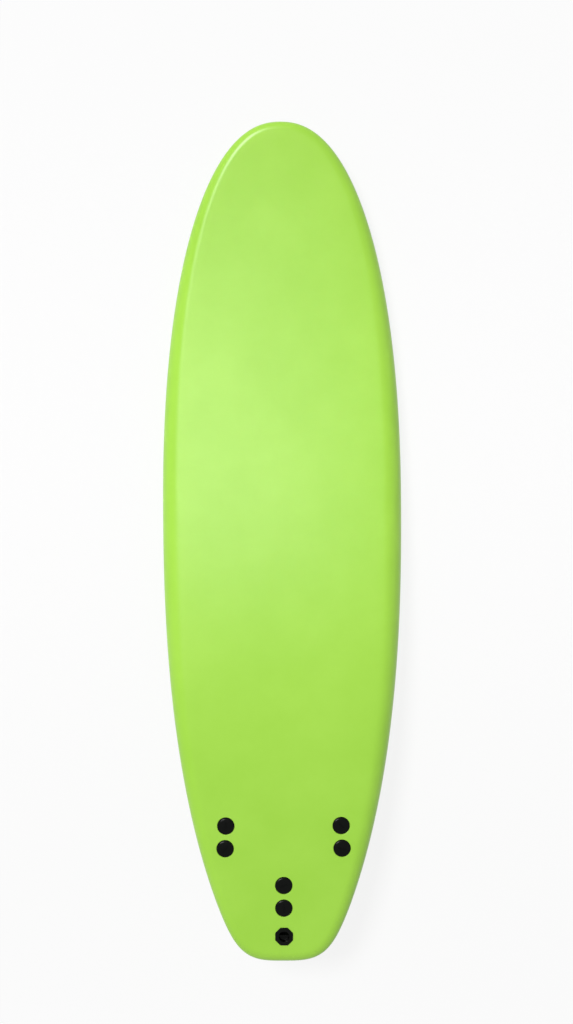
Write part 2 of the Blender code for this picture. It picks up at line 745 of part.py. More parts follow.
def make_fin(side, seat, outer_side):
    """Fin with its base plate against the bottom and its posts up in the plugs."""
    name = "fin_" + side
    frame = seat.bottom_frame() @ Matrix.Translation((0, 0, -GAP))
    mesh = base_mesh(name)
    mesh.transform(frame)
    fin = piece(name, mesh, seat.empty, NEAR_BLACK, 0.45, crease=35)

    blade = blade_mesh("blade_" + side, outer_side)
    root = Matrix.Translation((0, 0, -0.5 * FIN_BASE_THICKNESS))
    blade.transform(frame @ root @ Matrix.Rotation(-outer_side * CANT, 4, "Y"))
    combine(fin, cutter("blade_" + side, blade, seat.empty), "UNION")

    posts = []
    bores = []
    for _, forward in screw_places():
        place = Matrix.Translation((0, forward, 0))
        low = seat.bottom(0, forward) - GAP - 0.5 * FIN_BASE_THICKNESS
        post = ((0, POST_TOP), (POST_RADIUS, POST_TOP), (POST_RADIUS, low), (0, low))
        posts.append((turned_mesh("post", post, PLUG_SIDES), place))
        wall = INSERT_RADIUS + GAP
        floor = POST_TOP - INSERT_LENGTH - 2 * GAP
        bore = ((0, 0), (wall, 0), (wall, floor), (0, floor))
        bores.append((turned_mesh("bore", bore, SMALL_SIDES), place))
    combine(fin, cutter("posts_" + side, joined_mesh("posts", posts), seat.empty), "UNION")
    combine(fin, cutter("bores_" + side, joined_mesh("bores", bores), seat.empty), "DIFFERENCE")

    bore = SHANK_RADIUS + GAP
    insert_profile = ((bore, 0), (INSERT_RADIUS, 0), (INSERT_RADIUS, -INSERT_LENGTH), (bore, -INSERT_LENGTH))
    for end, forward in screw_places():
        insert_name = "insert_" + side + "_" + end
        piece(
            insert_name, turned_mesh(insert_name, insert_profile, SMALL_SIDES, closed=True),
            seat.empty, BRASS, 0.35, 1.0, place=(0, forward, POST_TOP - GAP))


def make_leash_plug(seat):
    """Eight-sided flange and cup with a bar across it, held by a flanged anchor in the core."""
    apothem = LEASH_FLANGE_FLATS / 2

    def octagon(inset):
        return lambda angle: (apothem - inset) / math.cos((angle + math.pi / 8) % (math.pi / 4) - math.pi / 8)

    floor = -CUP_DEPTH
    stem = LEASH_STEM_DIAMETER / 2
    top = GAP + LEASH_FLANGE
    bore = CUP_BORE / 2
    profile = (
        (0, floor), (bore, floor), (bore, top), (octagon(LEASH_FLANGE_BEVEL), top),
        (octagon(0.0), top - LEASH_FLANGE_BEVEL), (octagon(0.0), GAP), (CUP_RADIUS, GAP),
        (CUP_RADIUS, CUP_UNDER), (stem, CUP_UNDER), (stem, STEM_TIP), (0, STEM_TIP))
    cup = piece(
        "leash_cup", turned_mesh("leash_cup", profile, LEASH_SIDES), seat.empty, NEAR_BLACK, 0.4, crease=25)

    across = Matrix.Rotation(math.radians(90), 4, "Y")
    half = bore + BAR_SEAT

    def bar_mesh(name, radius, reach):
        mesh = turned_mesh(name, ((0, reach), (radius, reach), (radius, -reach), (0, -reach)), SMALL_SIDES)
        mesh.transform(across)
        return mesh

    socket = bar_mesh("bar_socket", BAR_DIAMETER / 2 + GAP, half + GAP)
    combine(cup, cutter("bar_socket", socket, cup, place=(0, 0, -BAR_DEPTH)), "DIFFERENCE")
    piece(
        "leash_bar", bar_mesh("leash_bar", BAR_DIAMETER / 2, half), seat.empty, NEAR_BLACK, 0.35,
        place=(0, 0, -BAR_DEPTH))
    flange = PLUG_FLANGE_DIAMETER / 2
    anchor = (
        (0, STEM_TIP - GAP), (stem + GAP, STEM_TIP - GAP), (stem + GAP, CUP_UNDER - GAP),
        (PLUG_RADIUS, CUP_UNDER - GAP), (PLUG_RADIUS, ANCHOR_SHOULDER), (flange, ANCHOR_SHOULDER),
        (flange, ANCHOR_FOOT), (0, ANCHOR_FOOT))
    piece(
        "leash_anchor", turned_mesh("leash_anchor", anchor, LEASH_SIDES), seat.empty, NEAR_BLACK, 0.5)


def set_stance(board):
    """Pitch the board onto its belly and fin tips, centred over the origin at z = 0."""
    bpy.context.view_layer.update()
    graph = bpy.context.evaluated_depsgraph_get()
    points = []
    for body in bpy.context.scene.objects:
        if body.type == "MESH" and not body.hide_render:
            shape = body.evaluated_get(graph)
            points += [shape.matrix_world @ vertex.co for vertex in shape.data.vertices]
    hull = []
    for point in sorted(points, key=lambda place: (place.y, place.z)):
        while len(hull) > 1:
            first = hull[-1] - hull[-2]
            second = point - hull[-2]
            if first.y * second.z - first.z * second.y > 0:
                break
            hull.pop()
        hull.append(point)
    rear, front = next(pair for pair in zip(hull, hull[1:]) if pair[0].y <= 0 < pair[1].y)
    pitch = Matrix.Rotation(-math.atan2(front.z - rear.z, front.y - rear.y), 4, "X")
    turned = [pitch @ point for point in points]
    low = Vector([min(point[axis] for point in turned) for axis in range(3)])
    high = Vector([max(point[axis] for point in turned) for axis in range(3)])
    middle = (low + high) / 2
    board.matrix_local = Matrix.Translation((-middle.x, -middle.y, -low.z)) @ pitch


def main():
    for body in list(bpy.data.objects):
        bpy.data.objects.remove(body)
    board = empty("board_frame")
    deck_skin, foam_core, sheets = make_layers(board)
    make_stringers(board, foam_core)
    side_y = SIDE_FIN_TO_TAIL - HALF_LENGTH
    side_x = half_width(side_y) - SIDE_FIN_TO_RAIL
    fins = (
        ("left", Seat("fin_seat_left", board, -side_x, side_y, TOE_IN), -1),
        ("right", Seat("fin_seat_right", board, side_x, side_y, -TOE_IN), 1),
        ("centre", Seat("fin_seat_centre", board, 0.0, CENTRE_FIN_TO_TAIL - HALF_LENGTH), 0),
    )
    slot_turns = {
        "left_front": 0, "left_rear": -35, "right_front": 35,
        "right_rear": 80, "centre_front": -70, "centre_rear": 8}
    leash_seat = Seat("leash_seat", board, 0.0, LEASH_TO_TAIL - HALF_LENGTH)
    cut_passages(board, [seat for _, seat, _ in fins], leash_seat, deck_skin, foam_core, sheets)
    for side, seat, outer_side in fins:
        for end, forward in screw_places():
            where = side + "_" + end
            make_screw("fin_screw_" + where, seat, forward, math.radians(slot_turns[where]))
        make_fin(side, seat, outer_side)
    make_leash_plug(leash_seat)
    set_stance(board)


main()
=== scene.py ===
import json
import math

import bmesh
import bpy
import numpy as np
from mathutils import Matrix

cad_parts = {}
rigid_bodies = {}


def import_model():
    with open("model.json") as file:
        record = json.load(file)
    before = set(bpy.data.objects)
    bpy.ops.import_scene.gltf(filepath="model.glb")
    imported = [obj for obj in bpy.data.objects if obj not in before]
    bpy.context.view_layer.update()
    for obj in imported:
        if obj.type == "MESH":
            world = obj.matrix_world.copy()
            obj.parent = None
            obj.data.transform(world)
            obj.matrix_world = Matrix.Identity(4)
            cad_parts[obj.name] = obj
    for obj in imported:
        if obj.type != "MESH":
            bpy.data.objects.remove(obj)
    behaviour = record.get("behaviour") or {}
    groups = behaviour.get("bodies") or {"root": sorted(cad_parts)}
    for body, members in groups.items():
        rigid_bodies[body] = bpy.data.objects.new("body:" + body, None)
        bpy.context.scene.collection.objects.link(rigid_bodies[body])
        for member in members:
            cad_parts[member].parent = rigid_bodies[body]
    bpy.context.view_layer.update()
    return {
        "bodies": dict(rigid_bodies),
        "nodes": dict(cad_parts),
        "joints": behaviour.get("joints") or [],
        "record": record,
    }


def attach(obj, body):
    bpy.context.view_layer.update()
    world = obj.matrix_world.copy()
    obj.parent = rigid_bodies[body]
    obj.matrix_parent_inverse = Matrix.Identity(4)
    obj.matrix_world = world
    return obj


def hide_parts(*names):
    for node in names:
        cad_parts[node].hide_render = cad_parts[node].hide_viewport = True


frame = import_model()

# Plan outline, rocker, foil and rails of the board, in metres, in the board's own frame
HALF_LENGTH = 0.9145
WIDTH = 0.527
WIDE_POINT = 0.080
TAIL_BLOCK = 0.1876
TAIL_CORNER = 0.0221
NOSE_ROCKER = 0.115
TAIL_ROCKER = 0.032
THICKNESS = 0.076
NOSE_THICKNESS = 0.030
TAIL_THICKNESS = 0.028
DOME = 0.0055
UPPER_RAIL = (0.040, 0.022)
LOWER_RAIL = (0.028, 0.016)
APEX_SHARE = 0.42
CENTRE_LINE = (-0.80, 0.78)
SEAM_INSET = 0.008
SEAM_GAP = 0.0004
FOAM_SKIN = 0.0055
FOAM_SKIN_LINED = 0.0045
SLICK = 0.0012
GAP = 0.0003
CUT_REACH = 0.01

# How the board lies on its belly and fin tips: pitch about X, then a shift back and up
PITCH = math.asin(-0.099468932)
STANCE = np.array(Matrix.Translation((0, -0.008522481, 0.026638791)) @ Matrix.Rotation(PITCH, 4, "X"))

# Places of the fins and the leash plug
SIDE_FINS_FROM_TAIL = 0.2764
SIDE_FINS_FROM_RAIL = 0.06685
TOE_IN = math.radians(2)
CENTRE_FIN_FROM_TAIL = 0.1450
LEASH_FROM_TAIL = 0.0578

# Fin screws and their plugs
SCREW_SPACING = 0.050
HEAD = 0.0185
HEAD_CLEARANCE = 0.0005
HOLE_LIP = 0.0012
HOLE_FLARE = (0.0014, 0.0005)
CROWN = 0.0046
CROWN_DROP = 0.00106
CROWN_RADIUS = 0.01521
DOME_RADIUS = 0.0140
HEAD_EDGE_CENTRE = (0.0123, 0.0011)
HEAD_EDGE_SIZE = (0.0062, 0.0027)
SLOT_HALF_WIDTH = 0.0015
SLOT_HALF_LENGTH = 0.009
SLOT_STRAIGHT = 0.007
SLOT_FLOOR = 0.0030
SHANK = 0.0045
SHANK_TIP = -0.0271
THREAD_PITCH = 0.002
THREAD_DEPTH = 0.00062
THREAD_START = -0.008
HEAD_SEAT = -0.0019
WASHER = 0.0150
WASHER_THICKNESS = 0.0010
WASHER_TOP = -0.0022
CAP = 0.0184
CAP_FLANGE = 0.0020
CAP_DEPTH = 0.0100
CAP_TOP = -0.0035
PLUG_BORE = 0.0088
PLUG = 0.011
PLUG_FLANGE = 0.017
FLANGE_THICKNESS = 0.0032
POST = 0.0085
POST_TOP = -0.015
INSERT = 0.0057
INSERT_LENGTH = 0.016
KNURL_RIDGES = 14
KNURL_SLOPE = 900
KNURL_DEPTH = 0.00015
SLOT_TURNS = {
    "left_front": 0, "left_rear": -35, "right_front": 35,
    "right_rear": 80, "centre_front": -70, "centre_rear": 8}

# Fins
FIN_CHORD = 0.108
FIN_DEPTH = 0.114
FIN_RAKE = 0.030
FIN_TIP_CHORD = 0.010
FIN_THICKNESS = 0.0095
FIN_EDGE = 0.0016
FIN_FLATNESS = 0.25
FIN_CANT = math.radians(5.0)
FIN_ROOT_ROUND = 0.006
FIN_ROOT_SHARE = 0.82
FIN_TIP_START = 0.95
BASE_LENGTH = 0.118
BASE_WIDTH = 0.024
BASE_THICKNESS = 0.0035
BASE_LIP = 0.0005
BASE_ROUND = 0.0022

# Leash plug
FLATS = 0.0195
ROUND_UP_TO = 0.0142
ROUND_TO_FLATS = 0.0020
CUP_TOP = 0.0024
CUP_BORE = 0.0115
CUP_OUTSIDE = 0.0135
FLANGE_LOOPS = (CUP_OUTSIDE, 0.0150, 0.0165)
CUP_FLOOR = -0.0125
CUP_UNDER = -0.0145
STEM = 0.006
STEM_TIP = -0.0215
BAR = 0.0025
BAR_PLACE = -0.0045
ANCHOR_FLOOR = 0.0015

# Floor, light and camera
FLOOR_HALF = 9
FLOOR_DROP = 0.0006
PAPER = (0.86, 0.86, 0.86, 1)
PAPER_WHITE = 0.86
SKY_STRENGTH = 0.30
CAMERA_LENS = 55.09
CAMERA_PLACE = (0.0097, 0.0746, 3.5, -0.00466)

AROUND = 560
WELD = 2e-6
TURN = 2 * math.pi


def blend(start, end, share):
    """Value this share of the way from start to end."""
    return start + (end - start) * share


def unit(vector):
    """The same direction, one long."""
    return vector / np.linalg.norm(vector)


def half_width(y):
    """Half the plan width: W/2 (1 - t^2.2527)^0.4459 towards the nose; towards the tail the
    width draws in with t^2.355 and t^6 to the tail block, times a corner (1 - e^-s)^0.297."""
    ahead = np.clip((y - WIDE_POINT) / (HALF_LENGTH - WIDE_POINT), 0, 1)
    behind = np.clip((WIDE_POINT - y) / (HALF_LENGTH + WIDE_POINT), 0, 1)
    nose = WIDTH / 2 * (1 - ahead ** 2.2527) ** 0.4459
    draw = blend(behind ** 2.355, behind ** 6, 0.173)
    corner = (1 - np.exp(-np.maximum(y + HALF_LENGTH, 0) / TAIL_CORNER)) ** 0.297
    return np.where(y > WIDE_POINT, nose, (WIDTH / 2 - (WIDTH - TAIL_BLOCK) / 2 * draw) * corner)


def reach(y):
    """0 amidships and 1 at either tip."""
    return np.minimum(np.abs(y) / HALF_LENGTH, 1)


def bottom_height(y):
    """Rocker: the nose's times reach^2.6 forward, the tail's times reach^2.4 aft."""
    return np.where(np.asarray(y) > 0, NOSE_ROCKER * reach(y) ** 2.6, TAIL_ROCKER * reach(y) ** 2.4)


def thickness(y):
    """Foil: thickest amidships, thinning with reach^2.6 to the nose and reach^2.2 to the tail."""
    ahead = blend(THICKNESS, NOSE_THICKNESS, reach(y) ** 2.6)
    behind = blend(THICKNESS, TAIL_THICKNESS, reach(y) ** 2.2)
    return np.where(np.asarray(y) > 0, ahead, behind)


def deck_height(x, y):
    """Bottom plus thickness, less a dome that falls with the square of x."""
    return bottom_height(y) + thickness(y) - DOME * (2 * x / WIDTH) ** 2


def upper_rail(y):
    """Plan width of the rail's round above the apex, narrowing with reach^2."""
    return blend(*UPPER_RAIL, reach(y) ** 2)


def lower_rail(y):
    """Plan width of the rail's round below the apex, narrowing with reach^2."""
    return blend(*LOWER_RAIL, reach(y) ** 2)


def outline():
    """Plan points anticlockwise from the tail's middle, evenly spaced along the edge, with
    their inward normals; the left side mirrors the right."""
    y = -HALF_LENGTH * np.cos(np.linspace(0, math.pi, 20001))
    near = np.geomspace(1e-10, 0.05, 4000)
    y = np.unique(np.concatenate([y, near - HALF_LENGTH, HALF_LENGTH - near]))
    edge = np.stack([half_width(y), y], 1)
    edge[[0, -1], 0] = 0
    along = np.concatenate([[0], np.cumsum(np.hypot(*np.diff(edge, axis=0).T))])
    places = np.linspace(0, along[-1], AROUND // 2 + 1)
    right = np.stack([np.interp(places, along, edge[:, k]) for k in (0, 1)], 1)
    step = 0.002
    ahead = np.stack([np.interp(places + step, along, edge[:, k]) for k in (0, 1)], 1)
    back = np.stack([np.interp(places - step, along, edge[:, k]) for k in (0, 1)], 1)
    way = ahead - back
    way[[0, -1]] = [[1, 0], [-1, 0]]
    inward = np.stack([-way[:, 1], way[:, 0]], 1) / np.hypot(*way.T)[:, None]
    mirror = np.array([-1, 1])
    return [np.concatenate([half, half[-2:0:-1] * mirror]) for half in (right, inward)]


EDGE, INWARD = outline()


def level(inset, height):
    """Loop of points round the board, `inset` inside the outline, at height(x, y)."""
    plan = EDGE + INWARD * inset[:, None]
    return np.stack([plan[:, 0], plan[:, 1], height(plan[:, 0], plan[:, 1])], 1)


def rail(skin, over, under, steps):
    """Loops from the flat bottom out round the apex and up to the deck's shoulder: an ellipse
    arc below the apex and another above it, `skin` inside the outline."""
    y = EDGE[:, 1]
    apex = bottom_height(y) + APEX_SHARE * thickness(y)
    loops = []
    for turn in np.linspace(90, 0, steps[0] + 1)[:-1]:
        share = math.sin(math.radians(turn))
        inset = lower_rail(y) - (lower_rail(y) - skin) * math.cos(math.radians(turn))
        loops.append(level(inset, lambda u, v: blend(apex, bottom_height(v) + under, share)))
    for turn in np.linspace(0, 90, steps[1] + 1):
        share = math.sin(math.radians(turn))
        inset = upper_rail(y) - (upper_rail(y) - skin) * math.cos(math.radians(turn))
        loops.append(level(inset, lambda u, v: blend(apex, deck_height(u, v) - over, share)))
    return loops


def across(loop, height, steps):
    """Loops that shrink from `loop` to the board's centre line, at height(x, y)."""
    foot = np.stack([0 * EDGE[:, 0], np.clip(EDGE[:, 1], *CENTRE_LINE)], 1)
    loops = []
    for share in np.linspace(0, 1, steps + 1)[1:]:
        plan = blend(loop[:, :2], foot, share)
        loops.append(np.column_stack([plan, height(plan[:, 0], plan[:, 1])]))
    return loops


class Seat:
    """Frame on the deck at (x, y): z along the deck's normal, y forward, turned by the toe-in."""

    def __init__(self, x, y, turn=0.0):
        step = 0.01
        along = np.array([0, 2 * step, deck_height(x, y + step) - deck_height(x, y - step)])
        aside = np.array([2 * step, 0, deck_height(x + step, y) - deck_height(x - step, y)])
        normal = unit(np.cross(aside, along))
        forward = np.array([math.sin(turn), math.cos(turn), 0])
        forward = unit(forward - normal * forward.dot(normal))
        self.frame = np.eye(4)
        self.frame[:3, :3] = np.stack([np.cross(forward, normal), forward, normal], 1)
        self.frame[:3, 3] = x, y, deck_height(x, y)
        rise = (bottom_height(y + step) - bottom_height(y - step)) / (2 * step)
        self.upright = self.frame[:3, :3].T @ unit(np.array([0, -rise, 1]))
        self.low = np.linalg.inv(self.frame) @ np.array([x, y, bottom_height(y), 1])

    def bottom(self, x, y):
        """Height of the board's bottom under this place, in the seat's frame."""
        slope = self.upright[0] * (x - self.low[0]) + self.upright[1] * (y - self.low[1])
        return self.low[2] - slope / self.upright[2]

    def bottom_frame(self):
        """Frame that lies in the board's bottom below the seat, facing the same way."""
        forward = np.array([0.0, 1.0, 0.0])
        forward = unit(forward - self.upright * forward.dot(self.upright))
        frame = np.eye(4)
        frame[:3, :3] = np.stack([np.cross(forward, self.upright), forward, self.upright], 1)
        frame[2, 3] = self.bottom(0, 0)
        return frame


SIDE_Y = SIDE_FINS_FROM_TAIL - HALF_LENGTH
SIDE_X = float(half_width(SIDE_Y)) - SIDE_FINS_FROM_RAIL
SEATS = {
    "left": Seat(-SIDE_X, SIDE_Y, TOE_IN),
    "right": Seat(SIDE_X, SIDE_Y, -TOE_IN),
    "centre": Seat(0.0, CENTRE_FIN_FROM_TAIL - HALF_LENGTH)}
LEASH_SEAT = Seat(0.0, LEASH_FROM_TAIL - HALF_LENGTH)


def moved(x=0.0, y=0.0, z=0.0, spin=0.0):
    """A turn about Z, then a shift."""
    return np.array(Matrix.Translation((x, y, z)) @ Matrix.Rotation(spin, 4, "Z"))


def placed(grid, *frames):
    """The grid's points carried through these frames, the last one first."""
    matrix = np.eye(4)
    for frame_ in frames:
        matrix = matrix @ frame_
    return grid @ matrix[:3, :3].T + matrix[:3, 3]


def turned(profile, sides, radius=None, height=None):
    """Profile of (radius, z) rows turned about Z. `radius` and `height` may change each
    point: they take the grids of radius, z and angle and give new ones."""
    r, z = np.asarray(profile, float).T[:, :, None]
    angle = np.linspace(0, TURN, sides, endpoint=False)[None, :]
    r, z, angle = np.broadcast_arrays(r, z, angle)
    r = radius(r, z, angle) if radius else r
    x, y = r * np.cos(angle), r * np.sin(angle)
    return np.stack([x, y, height(x, y, z) if height else z], -1)


def arc(centre, size, start, end, steps):
    """Points on a quarter or less of an ellipse, in (radius, z), from angle start to end."""
    angle = np.radians(np.linspace(start, end, steps + 1))
    return np.stack([centre[0] + size[0] * np.cos(angle), centre[1] + size[1] * np.sin(angle)], 1)


def rounded(radius, z, fillet, start, end, steps=3):
    """Rounded corner of a profile at (radius, z), from angle start to end: an arc about a
    centre that lies one fillet from both edges."""
    middle = math.radians((start + end) / 2)
    centre = (radius - math.copysign(fillet, math.cos(middle)), z - math.copysign(fillet, math.sin(middle)))
    return arc(centre, (fillet, fillet), start, end, steps)


def stadium(half_length, radius, steps):
    """Loop with round ends along Y: two half circles, `half_length` from the middle to an end."""
    angle = np.linspace(0, math.pi, steps)
    centre = half_length - radius
    x = radius * np.cos(angle)
    y = centre + radius * np.sin(angle)
    return np.stack([np.concatenate([x, -x]), np.concatenate([y, -y])], 1)


def capped(loops, straight):
    """The loops with one more at each end, drawn in to the line x = 0 and to `straight` from
    the middle, so that both ends close."""
    ends = []
    for loop in (loops[0], loops[-1]):
        end = loop.copy()
        end[:, 0] = 0
        end[:, 1] = np.clip(end[:, 1], -straight, straight)
        ends.append(end)
    return np.stack([ends[0], *loops, ends[1]])


def mesh_from(name, sheets):
    """One mesh from (grid, closed down, closed across) sheets, its shared edges welded and
    its faces turned outward."""
    points, faces, start = [], [], 0
    for grid, down, over in sheets:
        rows, columns = grid.shape[:2]
        r = np.arange(rows if down else rows - 1)[:, None]
        c = np.arange(columns if over else columns - 1)[None, :]
        below, beside = (r + 1) % rows, (c + 1) % columns
        corners = (r * columns + c, below * columns + c, below * columns + beside, r * columns + beside)
        faces.append(np.stack(np.broadcast_arrays(*corners), -1).reshape(-1, 4) + start)
        points.append(grid.reshape(-1, 3))
        start += rows * columns
    mesh = bpy.data.meshes.new(name)
    mesh.from_pydata(np.concatenate(points).tolist(), [], np.concatenate(faces).tolist())
    work = bmesh.new()
    work.from_mesh(mesh)
    bmesh.ops.remove_doubles(work, verts=work.verts, dist=WELD)
    bmesh.ops.recalc_face_normals(work, faces=work.faces)
    work.to_mesh(mesh)
    work.free()
    return mesh


def body_of_sheets(name, sheets):
    """An object in the scene made of (grid, closed down, closed across) sheets."""
    made = bpy.data.objects.new(name, mesh_from(name, sheets))
    bpy.context.scene.collection.objects.link(made)
    return made


def solid(name, grid, ring=False):
    """An object made of one grid that closes across, and down too where it is a ring."""
    return body_of_sheets(name, [(grid, ring, True)])


def combined(made, others, operation):
    """`made` with the other bodies joined to it or cut out of it; they are used up."""
    for other in others:
        step = made.modifiers.new(other.name, "BOOLEAN")
        step.operation = operation
        step.solver = "EXACT"
        step.object = other
    graph = bpy.context.evaluated_depsgraph_get()
    mesh = bpy.data.meshes.new_from_object(made.evaluated_get(graph))
    made.modifiers.clear()
    made.data = mesh
    for other in others:
        bpy.data.objects.remove(other)
    return made


def dressed(made, finish, body, slot, *nodes, sharp=30):
    """Gives a piece its finish and smooth shading, and sets it on its body."""
    made.data.name = made.name
    made.data.materials.clear()
    made.data.materials.append(finish)
    made.data.shade_smooth()
    made.data.set_sharp_from_angle(angle=math.radians(sharp))
    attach(made, body)
    if nodes:
        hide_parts(*nodes)
    return made


def linear(colour):
    """Scene-linear value of an sRGB colour."""
    return tuple(c / 12.92 if c <= 0.04045 else ((c + 0.055) / 1.055) ** 2.4 for c in colour)


class Finish:
    """A Principled finish whose colour, roughness and bump come from the piece's own place."""

    def __init__(self, name, **sockets):
        self.material = bpy.data.materials.new(name)
        self.material.use_nodes = True
        self.tree = self.material.node_tree
        self.shader = self.tree.nodes["Principled BSDF"]
        for socket, value in sockets.items():
            self.shader.inputs[socket.replace("_", " ")].default_value = value
        self.spot = self.node("ShaderNodeTexCoord").outputs["Object"]
        self.normal = None

    def node(self, kind, links=None, **settings):
        """A new node whose inputs take sockets or plain values."""
        made = self.tree.nodes.new(kind)
        for key, value in settings.items():
            setattr(made, key, value)
        for key, value in (links or {}).items():
            if isinstance(value, bpy.types.NodeSocket):
                self.tree.links.new(value, made.inputs[key])
            else:
                made.inputs[key].default_value = value
        return made

    def stretched(self, x, y, z):
        """The piece's own place, scaled along each axis."""
        return self.node("ShaderNodeMapping", {"Vector": self.spot, "Scale": (x, y, z)}).outputs["Vector"]

    def noise(self, scale, detail=3.0, rough=0.5, spot=None):
        """Fractal noise, 0 to 1."""
        links = {"Vector": spot or self.spot, "Scale": scale, "Detail": detail, "Roughness": rough}
        return self.node("ShaderNodeTexNoise", links).outputs["Fac"]

    def cells(self, scale, feature="F1", spot=None):
        """Distance to the nearest of scattered cell centres."""
        links = {"Vector": spot or self.spot, "Scale": scale}
        return self.node("ShaderNodeTexVoronoi", links, feature=feature).outputs["Distance"]

    def bands(self, scale, direction, spot=None):
        """Sine waves along one axis, 0 to 1."""
        links = {"Vector": spot or self.spot, "Scale": scale}
        return self.node("ShaderNodeTexWave", links, bands_direction=direction).outputs["Fac"]

    def between(self, value, low, high, start=0.0, end=1.0):
        """The value carried from the range start to end into the range low to high."""
        links = {"Value": value, "From Min": start, "From Max": end, "To Min": low, "To Max": high}
        return self.node("ShaderNodeMapRange", links).outputs["Result"]

    def sum(self, first, second, operation="ADD"):
        """Two values joined by a sum, or by another operation."""
        return self.node("ShaderNodeMath", {0: first, 1: second}, operation=operation).outputs[0]

    def colours(self, value, *stops):
        """Colour from a ramp of (place, sRGB colour) stops."""
        ramp = self.node("ShaderNodeValToRGB", {"Fac": value})
        while len(ramp.color_ramp.elements) < len(stops):
            ramp.color_ramp.elements.new(0.5)
        for element, (place, colour) in zip(ramp.color_ramp.elements, stops):
            element.position = place
            element.color = (*linear(colour), 1)
        self.tree.links.new(ramp.outputs["Color"], self.shader.inputs["Base Color"])

    def roughness(self, value, low, high):
        """Roughness from low to high as the value goes from a quarter to three quarters."""
        self.tree.links.new(self.between(value, low, high, 0.25, 0.75), self.shader.inputs["Roughness"])

    def bump(self, value, strength, distance):
        """Adds a bump of this height to those set before it."""
        links = {"Height": value, "Strength": strength, "Distance": distance}
        if self.normal is not None:
            links["Normal"] = self.normal
        self.normal = self.node("ShaderNodeBump", links).outputs["Normal"]
        self.tree.links.new(self.normal, self.shader.inputs["Normal"])


def foam_finish():
    """Lime closed-cell foam: a smooth skin with a fine pebble, soft waves and faint mottling."""
    lime = Finish("deck_foam", IOR=1.45)
    lime.shader.inputs["Specular IOR Level"].default_value = 0.50
    mottle = lime.noise(7.0, 4.0, 0.55)
    speck = lime.noise(420.0, 2.0)
    lime.colours(
        lime.sum(lime.between(mottle, 0.0, 0.8, 0.3, 0.7), lime.between(speck, 0.0, 0.2)),
        (0.0, (0.636, 0.864, 0.256)), (1.0, (0.666, 0.888, 0.292)))
    lime.roughness(lime.noise(60.0, 3.0), 0.29, 0.32)
    lime.bump(lime.noise(9.0, 2.0), 0.10, 0.0010)
    lime.bump(lime.cells(850.0, "SMOOTH_F1"), 0.18, 0.0003)
    return lime.material


def moulded_finish(name, shade, low, high, level, grain):
    """Black moulded plastic: faint flow marks, fine spark texture and uneven gloss."""
    black = Finish(name)
    black.shader.inputs["Specular IOR Level"].default_value = level
    darker = tuple(c * 0.72 for c in shade)
    black.colours(black.noise(90.0, 4.0), (0.3, darker), (0.7, shade))
    black.roughness(black.noise(160.0, 3.0), low, high)
    black.bump(black.noise(grain, 2.0), 0.12, 0.00015)
    return black.material


def slick_finish():
    """Glossy polyethylene sheet: fine lengthways scuffs and a faint heat-bond ripple."""
    slick = Finish("slick_sheet")
    slick.colours(slick.noise(5.0, 3.0), (0.3, (0.865, 0.878, 0.862)), (0.7, (0.892, 0.900, 0.888)))
    scuffs = slick.noise(30.0, 6.0, 0.7, slick.stretched(18, 0.7, 18))
    slick.roughness(scuffs, 0.16, 0.36)
    slick.bump(slick.noise(26.0, 2.0), 0.10, 0.0010)
    slick.bump(scuffs, 0.05, 0.0002)
    return slick.material


def bead_finish():
    """Expanded polystyrene: pressed white beads about 4 mm across."""
    beads = Finish("core_foam", Roughness=0.9)
    cells = beads.cells(260.0)
    beads.colours(cells, (0.15, (0.94, 0.94, 0.92)), (0.75, (0.84, 0.84, 0.81)))
    beads.bump(cells, 0.5, 0.0006)
    return beads.material


def fine_foam_finish():
    """Backing foam: pale, matt, with fine open cells."""
    foam = Finish("backing_foam", Roughness=0.92)
    cells = foam.cells(1500.0)
    foam.colours(cells, (0.2, (0.80, 0.82, 0.82)), (0.8, (0.70, 0.72, 0.73)))
    foam.bump(cells, 0.4, 0.0002)
    return foam.material


def net_finish():
    """Woven net: grey threads at right angles, 3 mm apart, over a darker ground."""
    net = Finish("reinforcing_net", Roughness=0.75)
    threads = net.sum(net.bands(52.0, "X"), net.bands(52.0, "Y"), "MAXIMUM")
    net.colours(threads, (0.45, (0.40, 0.42, 0.44)), (0.75, (0.64, 0.66, 0.68)))
    net.bump(threads, 0.6, 0.0004)
    return net.material


def plywood_finish():
    """Plywood on edge: thin light and dark plies across X, with grain along the board."""
    ply = Finish("plywood", Roughness=0.7)
    plies = ply.bands(160.0, "X")
    grain = ply.noise(14.0, 5.0, 0.6, ply.stretched(30, 1, 30))
    ply.colours(
        ply.sum(ply.between(plies, 0, 0.6), ply.between(grain, 0, 0.5)),
        (0.2, (0.58, 0.43, 0.26)), (0.9, (0.79, 0.65, 0.45)))
    ply.bump(grain, 0.3, 0.0003)
    return ply.material


def rubber_finish():
    """Black rubber: matt, with a fine grain."""
    rubber = Finish("washer_rubber")
    rubber.shader.inputs["Specular IOR Level"].default_value = 0.25
    rubber.colours(rubber.noise(200.0), (0.3, (0.045, 0.045, 0.045)), (0.7, (0.075, 0.075, 0.073)))
    rubber.roughness(rubber.noise(300.0), 0.72, 0.88)
    rubber.bump(rubber.noise(1500.0), 0.2, 0.0001)
    return rubber.material


def brass_finish():
    """Turned brass: fine rings across the axis and a little tarnish."""
    brass = Finish("insert_brass", Metallic=1.0)
    brass.colours(brass.noise(120.0, 4.0), (0.3, (0.66, 0.50, 0.24)), (0.7, (0.82, 0.66, 0.36)))
    brass.roughness(brass.noise(220.0, 4.0), 0.22, 0.45)
    brass.bump(brass.noise(60.0, 2.0, 0.5, brass.stretched(1, 1, 40)), 0.15, 0.0001)
    return brass.material


